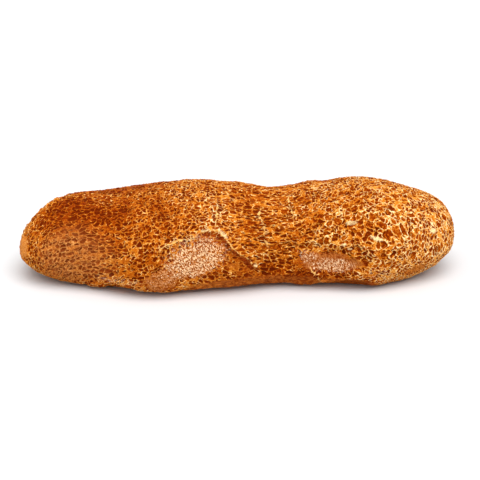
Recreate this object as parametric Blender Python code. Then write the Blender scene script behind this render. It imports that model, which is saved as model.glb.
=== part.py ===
"""A short, thick baguette with a pitted, crackled crust: one loaf, one solid.

Frame: metres, +X along the loaf, -Y the side with the two floured hollows, +Z up.
The flat underside lies on z = 0 and the bounding box is centred on the origin.

The loaf is a capsule whose width, height and centre line change along its length. Its
crust is laid out flat, like a map unrolled from the top ridge: `p` runs along the loaf
and `q` across it, negative to the front. The net of crust cells is made on that map and
then rolled onto the loaf.
"""
import math
import random

import bmesh
import bpy
import numpy as np
from mathutils import Vector
from mathutils.geometry import delaunay_2d_cdt

MM = 0.001

# ---- overall form, in millimetres ---------------------------------------------------
LENGTH = 340.0                 # tip to tip
LEFT_CAP = 54.0                # reach of the rounded left end
RIGHT_CAP = 68.0               # reach of the rounded right end
STATIONS = (-170, -140, -105, -65, -25, 20, 60, 100, 140, 170)
HALF_WIDTHS = (52.5, 48.0, 52.0, 61.0, 58.0, 55.0, 52.5, 55.5, 53.5, 54.0)
TOP_HEIGHTS = (51.5, 59.5, 62.5, 69.0, 71.5, 68.0, 68.2, 71.5, 69.0, 79.5)
CENTRE_LINE = (-0.5, 4.5, 2.0, -4.5, -3.0, -1.5, 0.5, 0.0, 3.0, -0.5)
BELLY_STATIONS = (-170, 0, 170)
BELLY_HEIGHTS = (22.5, 34.0, 28.5)   # height of the widest line above the table
BELLY_TUCK = 1.28                    # above 1 the underside is pressed flat
TUCK_ROUNDNESS = 2.6                 # higher values turn the flanks in more sharply
BASE_STATIONS = (-116, -60, 10, 50, 96, 102)
BASE_GIRTHS = (0.48, 0.48, 0.42, 0.43, 0.55, 0.56)   # width on the table, 1 at the widest line

# The waist between the two lobes.
WAIST_AT = 24.8
WAIST_DROP = 3.0
WAIST_DROP_SPREAD = 18.6
WAIST_PINCH = 5.5
WAIST_PINCH_SPREAD = 21.8

# ---- the flat map of the crust ------------------------------------------------------
UNROLL_RADIUS = 50.0           # map distance per radian round from the top ridge
CRUST_ANGLE = math.radians(122)      # the cells stop here, below the widest line
UNDER_ANGLE = math.radians(132)      # the landforms fade from here to the table
TURNED_ANGLE = math.radians(137.5)   # the flank turns in sharply here
BASE_ANGLE = math.acos(-1 / BELLY_TUCK)   # where the underside meets the table
SPINE_LEFT = -LENGTH / 2 + LEFT_CAP
SPINE_RIGHT = LENGTH / 2 - RIGHT_CAP
RIM_POINTS = 118               # corners round the rings of the underside

# ---- crust cells --------------------------------------------------------------------
CELL_SEED = 7
CELL_TRIES = 60000
CELL_GAP = 4.6                 # least distance between cell middles
SMOOTH_GAP = 5.6               # the same where the crust is bald or floured
CELL_DEPTH = 1.5               # middle of a cell below its rim
RIM_RISE = 0.35                # rim of a cell above the plain form
SWELL_HEIGHT = 0.8             # slow unevenness of the whole crust
# Regions with their own cell size: (p, q, reach along, reach across, gap factor, stretch).
CELL_REGIONS = (
    (-125.0, -75.0, 55.0, 45.0, 0.85, 1.0),   # fine pits on the lower left end
    (20.0, -35.0, 42.0, 60.0, 0.84, 1.9),     # long cells drawn out over the waist
    (92.0, -55.0, 36.0, 30.0, 1.28, 1.0),     # large cells on the right lobe
    (150.0, -20.0, 35.0, 60.0, 0.92, 1.0),    # small cells on the right end
)

# ---- torn lips, folds and floured hollows, as lines on the map ----------------------
# A lip: points, rise of its outer side on the left hand, fall of its inner side, reach of the fall.
LIPS = (
    (((-33, -54.5), (-26, -54.5), (-18, -53.5), (-11.5, -61.5), (-6.5, -71.5), (-0.5, -79), (4, -82),
      (10, -91.5), (16.5, -102.5)), 1.6, 2.3, 14.0),
    (((40.5, -76), (46, -69), (59, -66.8), (70, -68.5), (78, -73), (86.5, -84), (89.5, -94)),
     0.9, 1.7, 12.0),
)
LIP_STEP = 4.5                 # spacing of the corners along a lip
LIP_HALF = 1.3                 # half the width of its steep wall
LIP_ROLL = 6.0                 # how far the raised edge of a lip spreads outward
# A fold: points, height, half width.
FOLDS = (
    (((-61, -65.5), (-57, -62.5), (-47.5, -58.5), (-37, -56), (-30, -55)), 1.2, 3.5),
    (((52, -90), (59, -104.5), (65, -114)), 1.6, 3.5),
    (((85, -63.5), (92.5, -72.5), (100, -84)), 1.2, 2.8),
    (((-17.5, -22.5), (-16.5, -38), (-18, -52)), 0.8, 2.6),
    (((17.5, -24), (14.5, -37.5), (18.5, -50.5), (17.5, -61), (22, -75)), 0.9, 2.6),
    (((39.5, -8.5), (37.5, -22.5), (40, -35.5), (41, -48.5)), 0.9, 2.6),
)
# A floured hollow: middle p and q, half length, half width, turn in degrees, depth.
FLOURED_HOLLOWS = (
    (-38.0, -80.0, 34.0, 20.0, 38.0, 1.2),
    (66.0, -84.5, 29.0, 13.0, 0.0, 1.4),
)
# A dent in the crackled crust: the same values.
DENTS = (
    (46.0, -104.0, 13.0, 9.0, -55.0, 0.8),
    (22.0, -92.0, 16.0, 12.0, 0.0, 1.2),
    (84.0, -116.0, 15.0, 9.0, 0.0, 3.4),
    (-90.0, -116.0, 14.0, 9.0, 0.0, 1.8),
    (-210.0, -45.0, 16.0, 22.0, 0.0, 1.6),
    (198.0, -45.0, 16.0, 20.0, 0.0, 1.3),
    (-9.0, 18.0, 10.0, 14.0, 0.0, 0.8),
    (72.0, 18.0, 9.0, 14.0, 0.0, 0.7),
)
# A bulge: the same values, with its height.
BULGES = (
    (50.0, -118.0, 13.0, 9.0, 0.0, 2.2),
    (-16.0, -117.0, 24.0, 8.0, 0.0, 0.9),
    (-108.0, -115.0, 9.0, 9.0, 0.0, 1.6),
    (-146.0, 11.0, 10.0, 14.0, 0.0, 1.1),
    (-36.0, 18.0, 12.0, 14.0, 0.0, 0.6),
    (57.0, 18.0, 9.0, 14.0, 0.0, 1.1),
)
# The bald tip of the left end: middle p and q, half length, half width.
BALD_TIP = (-186.0, -34.0, 16.0, 24.0)

CRUST_COLOUR = (0.533, 0.159, 0.024, 1.0)
CRUST_ROUGHNESS = 0.62


def spline(stations, values):
    """A smooth curve through one value at each station."""
    xs = np.array(stations, float)
    ys = np.array(values, float)
    step = np.diff(xs)
    count = len(xs)
    system = np.eye(count)
    right = np.zeros(count)
    for i in range(1, count - 1):
        system[i, i - 1] = step[i - 1]
        system[i, i] = 2 * (step[i - 1] + step[i])
        system[i, i + 1] = step[i]
        right[i] = 6 * ((ys[i + 1] - ys[i]) / step[i] - (ys[i] - ys[i - 1]) / step[i - 1])
    bend = np.linalg.solve(system, right)

    def curve(x):
        x = np.clip(x, xs[0], xs[-1])
        i = np.clip(np.searchsorted(xs, x) - 1, 0, count - 2)
        before = x - xs[i]
        after = xs[i + 1] - x
        width = step[i]
        cubic = (bend[i] * after ** 3 + bend[i + 1] * before ** 3) / (6 * width)
        line_a = (ys[i] / width - bend[i] * width / 6) * after
        line_b = (ys[i + 1] / width - bend[i + 1] * width / 6) * before
        return cubic + line_a + line_b

    return curve


HALF_WIDTH = spline(STATIONS, HALF_WIDTHS)
TOP_HEIGHT = spline(STATIONS, TOP_HEIGHTS)
CENTRE = spline(STATIONS, CENTRE_LINE)


def girth(angle, endwise, base):
    """Distance from the spine, 1 at the widest line, at an angle from the top ridge.

    endwise is 0 on the flanks, where the side turns in sharply above the table, and 1 at
    the tips, where it is plainly round; base is the girth where it meets the table.
    """
    sunk = np.clip(-BELLY_TUCK * np.cos(angle), 0, 1)
    tucked = base + (1 - base) * np.sqrt(1 - sunk ** TUCK_ROUNDNESS)
    tucked = tucked - np.maximum(angle - BASE_ANGLE, 0)
    tucked = tucked + (np.sin(angle) - tucked) * endwise
    return np.where(angle < math.pi / 2, np.sin(angle), tucked)


def roll_up(p, q):
    """Place map points on the plain form, in millimetres."""
    spine = np.clip(p, SPINE_LEFT, SPINE_RIGHT)
    along = p - spine
    reach = np.hypot(along, q)
    safe = np.maximum(reach, 1e-9)
    angle = reach / UNROLL_RADIUS
    dir_z = np.cos(angle)
    out = girth(angle, np.abs(along) / safe, np.interp(spine, BASE_STATIONS, BASE_GIRTHS))
    dir_x = out * along / safe
    dir_y = out * q / safe
    x = spine + np.where(along < 0, LEFT_CAP, RIGHT_CAP) * dir_x
    half = HALF_WIDTH(x) - WAIST_PINCH * np.exp(-((x - WAIST_AT) / WAIST_PINCH_SPREAD) ** 2)
    top = TOP_HEIGHT(x) - WAIST_DROP * np.exp(-((x - WAIST_AT) / WAIST_DROP_SPREAD) ** 2)
    belly = np.interp(x, BELLY_STATIONS, BELLY_HEIGHTS)
    y = dir_y * half + CENTRE(x)
    upper = belly + dir_z * (top - belly)
    lower = np.maximum(belly * (1 + BELLY_TUCK * dir_z), 0)
    z = np.where(dir_z > 0, upper, lower)
    return np.stack([x, y, z], -1)


def outward(p, q):
    """Outward direction of the plain form at map points."""
    nudge = 0.4
    run = roll_up(p + nudge, q) - roll_up(p - nudge, q)
    rise = roll_up(p, q + nudge) - roll_up(p, q - nudge)
    normal = np.cross(run, rise)
    size = np.linalg.norm(normal, axis=-1, keepdims=True)
    return normal / np.maximum(size, 1e-9)


def line_distance(p, q, points):
    """Distance to a drawn line, its sign (+ on the left hand) and how far along (0 to 1)."""
    best = np.full(np.shape(p), 1e9)
    sign = np.ones(np.shape(p))
    where = np.zeros(np.shape(p))
    spans = len(points) - 1
    for i in range(spans):
        ax, ay = points[i]
        bx, by = points[i + 1]
        ex, ey = bx - ax, by - ay
        t = np.clip(((p - ax) * ex + (q - ay) * ey) / (ex * ex + ey * ey), 0, 1)
        gap_x = p - ax - t * ex
        gap_y = q - ay - t * ey
        gap = np.hypot(gap_x, gap_y)
        closer = gap < best
        best = np.where(closer, gap, best)
        sign = np.where(closer, np.sign(ex * gap_y - ey * gap_x), sign)
        where = np.where(closer, (i + t) / spans, where)
    return best, sign, where


def ellipse(p, q, middle_p, middle_q, half_long, half_wide, turn):
    """Distance from the middle of an ellipse, 1 on its edge."""
    c, s = math.cos(math.radians(turn)), math.sin(math.radians(turn))
    along = (p - middle_p) * c + (q - middle_q) * s
    across = (q - middle_q) * c - (p - middle_p) * s
    return np.hypot(along / half_long, across / half_wide)


def fade(x, low, high):
    """0 below low, 1 above high, smooth between."""
    t = np.clip((x - low) / (high - low), 0, 1)
    return t * t * (3 - 2 * t)


def crust_reach(p, q):
    """Angle round from the top ridge."""
    return np.hypot(p - np.clip(p, SPINE_LEFT, SPINE_RIGHT), q) / UNROLL_RADIUS


def landforms(p, q):
    """Height of lips, folds, hollows and slow swells above the plain form."""
    height = 0.5 * np.sin(p / 13.0 + 1.7 * np.sin(q / 19.0))
    height = height + 0.5 * np.sin(q / 11.0 + 1.3 * np.sin(p / 23.0 + 2.0))
    height = height * SWELL_HEIGHT
    for middle_p, middle_q, half_long, half_wide, turn, depth in FLOURED_HOLLOWS + DENTS:
        inside = ellipse(p, q, middle_p, middle_q, half_long, half_wide, turn)
        height = height - depth * (1 - fade(inside, 0.55, 1.15))
    for middle_p, middle_q, half_long, half_wide, turn, rise in BULGES:
        inside = ellipse(p, q, middle_p, middle_q, half_long, half_wide, turn)
        height = height + rise * (1 - fade(inside, 0.3, 1.2))
    for points, rise, fall, reach in LIPS:
        gap, sign, where = line_distance(p, q, points)
        taper = fade(where, 0.0, 0.25) * (1 - fade(where, 0.8, 1.0))
        side = gap * sign
        outer = rise * np.exp(-gap / LIP_ROLL)
        inner = -fall * np.exp(-(gap / reach) ** 2)
        step = fade(side, -LIP_HALF, LIP_HALF)
        height = height + taper * (inner + (outer - inner) * step)
    for points, rise, half in FOLDS:
        gap, _, where = line_distance(p, q, points)
        taper = fade(where, 0.0, 0.2) * (1 - fade(where, 0.8, 1.0))
        height = height + rise * taper * np.exp(-(gap / half) ** 2)
    return height * (1 - fade(crust_reach(p, q), UNDER_ANGLE, BASE_ANGLE - 0.02))


def smooth_crust(p, q):
    """1 where the crust is floured or bald and has no cells, 0 elsewhere."""
    bald = 1 - fade(ellipse(p, q, *BALD_TIP, 0.0), 0.8, 1.1)
    for middle_p, middle_q, half_long, half_wide, turn, _ in FLOURED_HOLLOWS:
        inside = ellipse(p, q, middle_p, middle_q, half_long, half_wide, turn)
        bald = np.maximum(bald, 1 - fade(inside, 0.85, 1.05))
    return np.maximum(bald, fade(crust_reach(p, q), CRUST_ANGLE - 0.16, CRUST_ANGLE - 0.06))


def cell_gap(p, q):
    """Least distance between cell middles here, and how far the cells are drawn out."""
    factor = np.ones(np.shape(p))
    stretch = np.ones(np.shape(p))
    for middle_p, middle_q, half_long, half_wide, gap, draw in CELL_REGIONS:
        inside = 1 - fade(ellipse(p, q, middle_p, middle_q, half_long, half_wide, 0.0), 0.6, 1.2)
        factor = factor + (gap - 1) * inside
        stretch = stretch + (draw - 1) * inside
    gap = CELL_GAP * factor
    return gap + (SMOOTH_GAP - gap) * smooth_crust(p, q), stretch


def stadium_ring(angle, count):
    """Evenly spaced map points round the loaf at one angle from the top ridge."""
    radius = UNROLL_RADIUS * angle
    ends = (SPINE_LEFT, SPINE_RIGHT)
    outline = []
    for end, start in ((1, -90.0), (0, 90.0)):
        for turn in range(0, 181, 3):
            heading = math.radians(start + turn)
            outline.append((ends[end] + radius * math.cos(heading), radius * math.sin(heading)))
    outline.append(outline[0])
    outline = np.array(outline)
    placed = roll_up(outline[:, 0], outline[:, 1])
    walked = np.concatenate([[0], np.cumsum(np.linalg.norm(np.diff(placed, axis=0), axis=1))])
    stops = np.linspace(0, walked[-1], count, endpoint=False)
    ring_p = np.interp(stops, walked, outline[:, 0])
    ring_q = np.interp(stops, walked, outline[:, 1])
    spine = np.clip(ring_p, *ends)
    out = radius / np.hypot(ring_p - spine, ring_q)
    return list(zip(spine + (ring_p - spine) * out, ring_q * out))


def lip_rows():
    """Corners in two rows beside each lip, so that its wall is steep and clean."""
    rows = []
    for points, _, _, _ in LIPS:
        line = np.array(points, float)
        walked = np.concatenate([[0], np.cumsum(np.hypot(*np.diff(line, axis=0).T))])
        stops = np.linspace(0, walked[-1], round(walked[-1] / LIP_STEP) + 1)
        line_p = np.interp(stops, walked, line[:, 0])
        line_q = np.interp(stops, walked, line[:, 1])
        run_p = np.gradient(line_p)
        run_q = np.gradient(line_q)
        size = np.hypot(run_p, run_q)
        for side in (LIP_HALF, -LIP_HALF):
            rows += list(zip(line_p - side * run_q / size, line_q + side * run_p / size))
    return rows


def scatter_cells(fixed):
    """Cell middles, thrown at random and kept where they are far enough from the rest."""
    dice = random.Random(CELL_SEED)
    edge = UNROLL_RADIUS * CRUST_ANGLE
    tries_p = np.array([dice.uniform(SPINE_LEFT - edge, SPINE_RIGHT + edge) for _ in range(CELL_TRIES)])
    tries_q = np.array([dice.uniform(-edge, edge) for _ in range(CELL_TRIES)])
    on_crust = crust_reach(tries_p, tries_q) < CRUST_ANGLE
    tries_p, tries_q = tries_p[on_crust], tries_q[on_crust]
    gaps, stretches = cell_gap(tries_p, tries_q)
    places = roll_up(tries_p, tries_q)
    fixed_p, fixed_q = np.array(fixed).T
    kept_places = list(roll_up(fixed_p, fixed_q))
    block = 12.0
    bins = {}
    for place in kept_places:
        bins.setdefault(tuple((place // block).astype(int)), []).append(place)
    kept = []
    for i, place in enumerate(places):
        home = tuple((place // block).astype(int))
        near = []
        for dx in (-1, 0, 1):
            for dy in (-1, 0, 1):
                for dz in (-1, 0, 1):
                    near += bins.get((home[0] + dx, home[1] + dy, home[2] + dz), [])
        if near:
            offset = np.array(near) - place
            offset[:, 0] /= stretches[i]
            if np.min(np.sum(offset ** 2, axis=1)) < gaps[i] ** 2:
                continue
        bins.setdefault(home, []).append(place)
        kept.append((tries_p[i], tries_q[i]))
    return kept


def crust_net():
    """The crust as a flat net: every cell a fan of faces round its middle."""
    fixed = lip_rows()
    for angle in (CRUST_ANGLE, UNDER_ANGLE, TURNED_ANGLE, BASE_ANGLE):
        fixed += stadium_ring(angle, RIM_POINTS)
    cells = scatter_cells(fixed)
    points = [Vector(point) for point in fixed + cells]
    corners, _, faces, _, _, _ = delaunay_2d_cdt(points, [], [], 0, 1e-6)
    net = bmesh.new()
    middle = net.verts.layers.float.new("cell_middle")
    verts = [net.verts.new((corner.x, corner.y, 0)) for corner in corners]
    for face in faces:
        net.faces.new([verts[i] for i in face])
    corner_p, corner_q = np.array(corners).T
    bald = smooth_crust(corner_p, corner_q)
    cell_keys = {(round(p, 3), round(q, 3)) for p, q in cells}
    for vert, corner, plain in zip(verts, corners, bald):
        if (round(corner.x, 3), round(corner.y, 3)) in cell_keys:
            vert[middle] = 1 - plain
    # A face that touches a cell is split at its middle; the old edges between two split
    # faces are turned, which leaves one fan of faces per cell with its rim between cells.
    split = [face for face in net.faces if any(vert[middle] > 0.5 for vert in face.verts)]
    chosen = set(split)
    turned = [edge for edge in net.edges if all(face in chosen for face in edge.link_faces)]
    turned = [edge for edge in turned if len(edge.link_faces) == 2]
    old_count = len(net.verts)
    bmesh.ops.poke(net, faces=split)
    bmesh.ops.rotate_edges(net, edges=turned)
    net.verts.ensure_lookup_table()
    for vert in net.verts[old_count:]:
        vert[middle] = -1
    return net, middle


def build_loaf():
    """Roll the net onto the loaf, sink the cells, and close the flat base."""
    net, middle = crust_net()
    flat = np.array([vert.co[:2] for vert in net.verts])
    kind = np.array([vert[middle] for vert in net.verts])
    p, q = flat[:, 0], flat[:, 1]
    dice = random.Random(CELL_SEED + 1)
    vary = np.array([dice.uniform(0.55, 1.25) for _ in net.verts])
    relief = landforms(p, q)
    relief = relief - (CELL_DEPTH - RIM_RISE) * np.clip(kind, 0, 1) * vary
    relief = relief + RIM_RISE * (kind < 0) * vary
    place = roll_up(p, q) + outward(p, q) * relief[:, None]
    on_base = crust_reach(p, q) > BASE_ANGLE - 1e-4
    place[:, 2] = np.where(on_base, 0, np.maximum(place[:, 2], 0))
    place[:, :2] -= (place[:, :2].min(axis=0) + place[:, :2].max(axis=0)) / 2
    for vert, spot in zip(net.verts, place):
        vert.co = Vector(spot) * MM
    bmesh.ops.holes_fill(net, edges=[edge for edge in net.edges if edge.is_boundary], sides=0)
    bmesh.ops.triangulate(net, faces=[face for face in net.faces if len(face.verts) > 3])
    bmesh.ops.recalc_face_normals(net, faces=net.faces)
    for face in net.faces:
        face.smooth = True
    mesh = bpy.data.meshes.new("loaf")
    net.to_mesh(mesh)
    net.free()
    return mesh


def crust_material():
    material = bpy.data.materials.new("crust")
    material.use_nodes = True
    shader = material.node_tree.nodes["Principled BSDF"]
    shader.inputs["Base Color"].default_value = CRUST_COLOUR
    shader.inputs["Roughness"].default_value = CRUST_ROUGHNESS
    shader.inputs["Metallic"].default_value = 0.0
    return material


def main():
    for old in list(bpy.data.objects):
        bpy.data.objects.remove(old, do_unlink=True)
    collection = bpy.data.collections.new("baguette")
    bpy.context.scene.collection.children.link(collection)
    loaf = bpy.data.objects.new("loaf", build_loaf())
    loaf.data.materials.append(crust_material())
    collection.objects.link(loaf)


main()
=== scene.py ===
"""Looks of the baguette: a crackled, pitted crust with floured hollows, in soft studio light.

The crust is laid out on a flat map, as in the part's source: `p` runs along the loaf and
`q` across it from the top ridge, negative to the front, both in millimetres. A fine mesh of
the map is rolled up into the loaf. Geometry nodes then sink the cells of the crust into it,
and the crust's material works out the same cells again to colour them.
"""
import math

import bmesh
import bpy
import numpy as np
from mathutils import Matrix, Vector


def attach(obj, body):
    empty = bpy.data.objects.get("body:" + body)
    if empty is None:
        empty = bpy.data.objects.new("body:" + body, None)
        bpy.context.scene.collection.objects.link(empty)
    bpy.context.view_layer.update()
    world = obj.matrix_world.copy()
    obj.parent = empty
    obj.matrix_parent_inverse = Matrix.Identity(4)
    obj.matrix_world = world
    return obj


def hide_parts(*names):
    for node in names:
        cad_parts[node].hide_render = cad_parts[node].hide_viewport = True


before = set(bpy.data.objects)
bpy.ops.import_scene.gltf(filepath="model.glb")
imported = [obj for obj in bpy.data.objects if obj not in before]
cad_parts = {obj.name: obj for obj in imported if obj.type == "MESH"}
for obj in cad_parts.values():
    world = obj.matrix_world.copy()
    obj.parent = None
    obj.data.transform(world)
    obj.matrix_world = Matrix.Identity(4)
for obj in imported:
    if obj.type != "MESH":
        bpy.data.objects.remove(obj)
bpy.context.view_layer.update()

MM = 0.001

# ---- overall form, in millimetres, as in the part's source ----
LENGTH = 340.0                 # tip to tip
LEFT_CAP = 54.0                # reach of the rounded left end
RIGHT_CAP = 68.0               # reach of the rounded right end
STATIONS = (-170, -140, -105, -65, -25, 20, 60, 100, 140, 170)
HALF_WIDTHS = (52.5, 48.0, 52.0, 61.0, 58.0, 55.0, 52.5, 55.5, 53.5, 54.0)
TOP_HEIGHTS = (51.5, 59.5, 62.5, 69.0, 71.5, 68.0, 68.2, 71.5, 69.0, 79.5)
CENTRE_LINE = (-0.5, 4.5, 2.0, -4.5, -3.0, -1.5, 0.5, 0.0, 3.0, -0.5)
BELLY_STATIONS = (-170, 0, 170)
BELLY_HEIGHTS = (22.5, 34.0, 28.5)   # height of the widest line above the table
BELLY_TUCK = 1.28                    # above 1 the underside is pressed flat
TUCK_ROUNDNESS = 2.6                 # higher values turn the flanks in more sharply
BASE_STATIONS = (-116, -60, 10, 50, 96, 102)
BASE_GIRTHS = (0.48, 0.48, 0.42, 0.43, 0.55, 0.56)   # width on the table, 1 at the widest line

# The waist between the two lobes.
WAIST_AT = 24.8
WAIST_DROP = 3.0
WAIST_DROP_SPREAD = 18.6
WAIST_PINCH = 5.5
WAIST_PINCH_SPREAD = 21.8

# ---- the flat map of the crust ----
UNROLL_RADIUS = 50.0           # map distance per radian round from the top ridge
SPINE_LEFT = -LENGTH / 2 + LEFT_CAP
SPINE_RIGHT = LENGTH / 2 - RIGHT_CAP
BASE_ANGLE = math.acos(-1 / BELLY_TUCK)   # where the underside meets the table
UNDER_ANGLE = math.radians(132)      # all relief fades from here
GROUND_ANGLE = BASE_ANGLE - 0.02     # to here
CRUST_ANGLE = math.radians(122)      # the cells of the part's source end here
FOOT_ANGLE = CRUST_ANGLE + 0.2       # here the uncrackled underside begins
SOLE_ANGLE = CRUST_ANGLE + 0.42      # and from here it is all uncrackled
SEAL_ANGLE = BASE_ANGLE + 0.03       # the map ends here, on the flat base
MESH_STEP = 1.045              # spacing of the crust's corners on the map

# ---- landforms of the crust, as lines and ellipses on the map ----
# Slow swells, two crossed waves: length, waver of the crests, length of the waver, its start.
SWELL_HEIGHT = 0.8
SWELL_ALONG = (13.0, 1.7, 19.0, 0.0)
SWELL_ACROSS = (11.0, 1.3, 23.0, 2.0)
# A lip: points, rise of its outer side on the left hand, fall of its inner side, reach of the fall.
LIPS = (
    (((-33, -54.5), (-26, -54.5), (-18, -53.5), (-11.5, -61.5), (-6.5, -71.5), (-0.5, -79), (4, -82),
      (10, -91.5), (16.5, -102.5)), 1.6, 2.3, 14.0),
    (((40.5, -76), (46, -69), (59, -66.8), (70, -68.5), (78, -73), (86.5, -84), (89.5, -94)),
     0.9, 1.7, 12.0),
)
LIP_HALF = 0.9                 # half the width of its steep wall
LIP_ROLL = 6.0                 # how far the raised edge of a lip spreads outward
TORN_LIP = LIPS[0][0]          # the lip with a cream torn edge, and painted shade on the wall below it
# A fold: points, height, half width.
FOLDS = (
    (((-61, -65.5), (-57, -62.5), (-47.5, -58.5), (-37, -56), (-30, -55)), 1.2, 3.0),
    (((52, -90), (59, -104.5), (65, -114)), 1.6, 2.6),
    (((85, -63.5), (92.5, -72.5), (100, -84)), 1.2, 2.0),
    (((-17.5, -22.5), (-16.5, -38), (-18, -52)), 0.8, 1.8),
    (((17.5, -24), (14.5, -37.5), (18.5, -50.5), (17.5, -61), (22, -75)), 0.9, 1.8),
    (((39.5, -8.5), (37.5, -22.5), (40, -35.5), (41, -48.5)), 0.9, 1.8),
)
LINE_TAPER = 0.2               # share of a lip or fold in which it fades in, and out again
# A floured hollow: middle p and q, half length, half width, turn in degrees, depth.
FLOURED_HOLLOWS = (
    (-38, -80, 34, 20, 38, 1.2),
    (66, -84.5, 29, 13, 0, 1.4),
)
# A dent in the crackled crust: the same values.
DENTS = (
    (46, -104, 13, 9, -55, 0.8),
    (22, -92, 16, 12, 0, 1.2),
    (84, -116, 15, 9, 0, 3.4),
    (-90, -116, 14, 9, 0, 1.8),
    (-210, -45, 16, 22, 0, 1.6),
    (198, -45, 16, 20, 0, 1.3),
    (-9, 18, 10, 14, 0, 0.8),
    (72, 18, 9, 14, 0, 0.7),
)
DENT_EDGE = (0.55, 1.15)       # a dent rises to the crust between these shares of its ellipse
# A bulge: the same values, with its height.
BULGES = (
    (50, -118, 13, 9, 0, 2.2),
    (-16, -117, 24, 8, 0, 0.9),
    (-108, -115, 9, 9, 0, 1.6),
    (-146, 11, 10, 14, 0, 1.1),
    (-36, 18, 12, 14, 0, 0.6),
    (57, 18, 9, 14, 0, 1.1),
)
BULGE_EDGE = (0.3, 1.2)        # and a bulge falls to the crust between these

# ---- regions of the crust, as soft patches on the map ----
# Each patch: middle p and q, half length, half width, turn in degrees, strength.
# Where dust and loose grains of flour lie.
FLOUR = (
    (-33, -76.5, 24, 18, 32, 1),
    (-58, -96, 15, 12, 45, 0.38),
    (-92, -98, 22, 8, 0, 0.34),
    (51, -82, 9, 8, -20, 0.5),
    (69, -90, 17, 7.5, 0, 0.8),
    (104, -98, 18, 7, 10, 0.28),
)
# Smooth crust in the hollows, which has only the finest cells.
FLOURED = (
    (-33.5, -79, 24, 15.5, 38, 1),
    (-58, -97, 17, 13, 45, 0.75),
    (67, -87, 23, 9, 0, 1),
)
# The bald tip of the left end, without cells.
BARE = (
    (-184, -22, 12, 20, 0, 1),
)
# Crust that stays uncrackled: low on the front, by the lower end of the torn lip, at the right.
FOOT = (
    (70, -116, 34, 11, 0, 0.8),
    (8, -114, 50, 11, 0, 0.75),
    (0, -94, 18, 7, -45, 0.22),
    (152, -86, 16, 6, 40, 0.6),
)
FOOT_EDGE = (0.6, 1.3)         # it fades between these shares of each ellipse
# Darker crust: baked darker on the upper left and round its back; painted shade in the floured hollows,
# under the lips and low on the front.
BAKED_AND_SHADE = (
    (-118, -24, 46, 27, 0, 1),
    (-70, -30, 40, 30, 0, 0.45),
    (-95, 40, 60, 45, 0, 0.85),
    (22, -102, 40, 18, 0, 0.55),
    (66, -90, 34, 15, 0, 0.6),
    (45, -106, 15, 12, 0, 0.85),
    (88, -115, 16, 10, 0, 1),
    (8, -30, 14, 40, 0, 0.32),
    (42, -16, 24, 16, 0, 0.45),
    (82, -20, 18, 14, 0, 0.25),
    (-26, -64, 9, 9, 0, 0.7),
    (30, -76, 10, 9, 0, 0.35),
    (144, -48, 10, 9, 0, 0.25),
    (49, -39, 14, 12, 0, 0.3),
    (-99, -55, 14, 20, 0, 0.5),
    (-82, -84, 12, 10, 0, 0.35),
    (-8, -81, 10, 9, 0, 0.35),
    (86, -50, 10, 9, 0, 0.3),
    (-63, -66, 12, 16, 0, 0.4),
    (60, 45, 60, 40, 0, 0.4),
)
# Lighter crust with brighter rims: partly paler crust, partly painted light, most of all on the right end
# and high on the loaf.
PALE_AND_LIT = (
    (150, -50, 45, 50, 0, 0.9),
    (117, -41, 15, 16, 0, 1.3),
    (66, -60, 16, 13, 0, 0.6),
    (112, -95, 38, 22, 0, 0.7),
    (95, -15, 60, 36, 0, 0.6),
    (-20, -32, 22, 36, 0, 0.3),
    (-45, -14, 12, 12, 0, 0.6),
    (11, -84, 9, 8, 0, 0.5),
    (-102, -10, 12, 12, 0, 0.6),
    (140, -12, 14, 12, 0, 1.2),
)
# Where the cells are large; elsewhere they are small.
LARGE = (
    (92, -58, 46, 36, 0, 1),
    (30, -62, 36, 26, 0, 0.5),
    (90, -15, 60, 30, 0, 0.4),
)
# The duller, tan crust of the left end, dotted with dark cell floors.
DOTTED = (
    (-135, -75, 50, 42, 0, 1),
)
# The lumpy left shoulder.
RAGGED = (
    (-160, 20, 40, 50, 0, 1),
)
# Small torn flakes and lumps, cream where the crumb shows.
FLAKES = (
    (-13, -55.6, 6, 1.3, -52, 1.2),
    (-26, -51.8, 3.6, 1.2, 5, 0.8),
    (77, -68, 2.4, 1.6, 20, 0.8),
    (81.5, -72, 2, 1.4, 0, 0.8),
    (11.6, -89.8, 2.2, 1.4, -40, 0.8),
    (83, -48, 5, 2.2, 10, 0.66),
    (101.5, -62, 5.6, 2.2, -15, 0.66),
    (146, -44, 4.4, 2.8, 30, 0.66),
)
# Regions stored on the mesh: name, patches, and between which shares of its ellipse each fades.
REGIONS = (
    ("flour", FLOUR, 0.4, 1.5),
    ("floured", FLOURED, 0.5, 1.5),
    ("bare", BARE, 0.6, 1.3),
    ("baked", BAKED_AND_SHADE, 0.5, 1.3),
    ("pale", PALE_AND_LIT, 0.5, 1.3),
    ("large", LARGE, 0.5, 1.3),
    ("dotted", DOTTED, 0.4, 1.1),
    ("ragged", RAGGED, 0.5, 1.3),
    ("flakes", FLAKES, 0.5, 1.4),
)

# ---- the net on which the cells are laid ----
ARC_STEPS = 24                 # steps in which the distance from the ridge is measured
NET_SQUEEZE = 0.94             # cells are a little longer along the loaf than across it
# Lenses that make the cells smaller (+) or larger (-) along and across the loaf:
# middle p and q, reach, change along, change across.
LENSES = (
    (-125, -62, 70, -0.20, 0.30),
    (18, -50, 58, -0.42, 0.72),
    (98, -56, 36, -0.42, -0.36),
    (165, -30, 45, -0.35, -0.20),
    (18, 50, 60, -0.30, 0.35),
)


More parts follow.
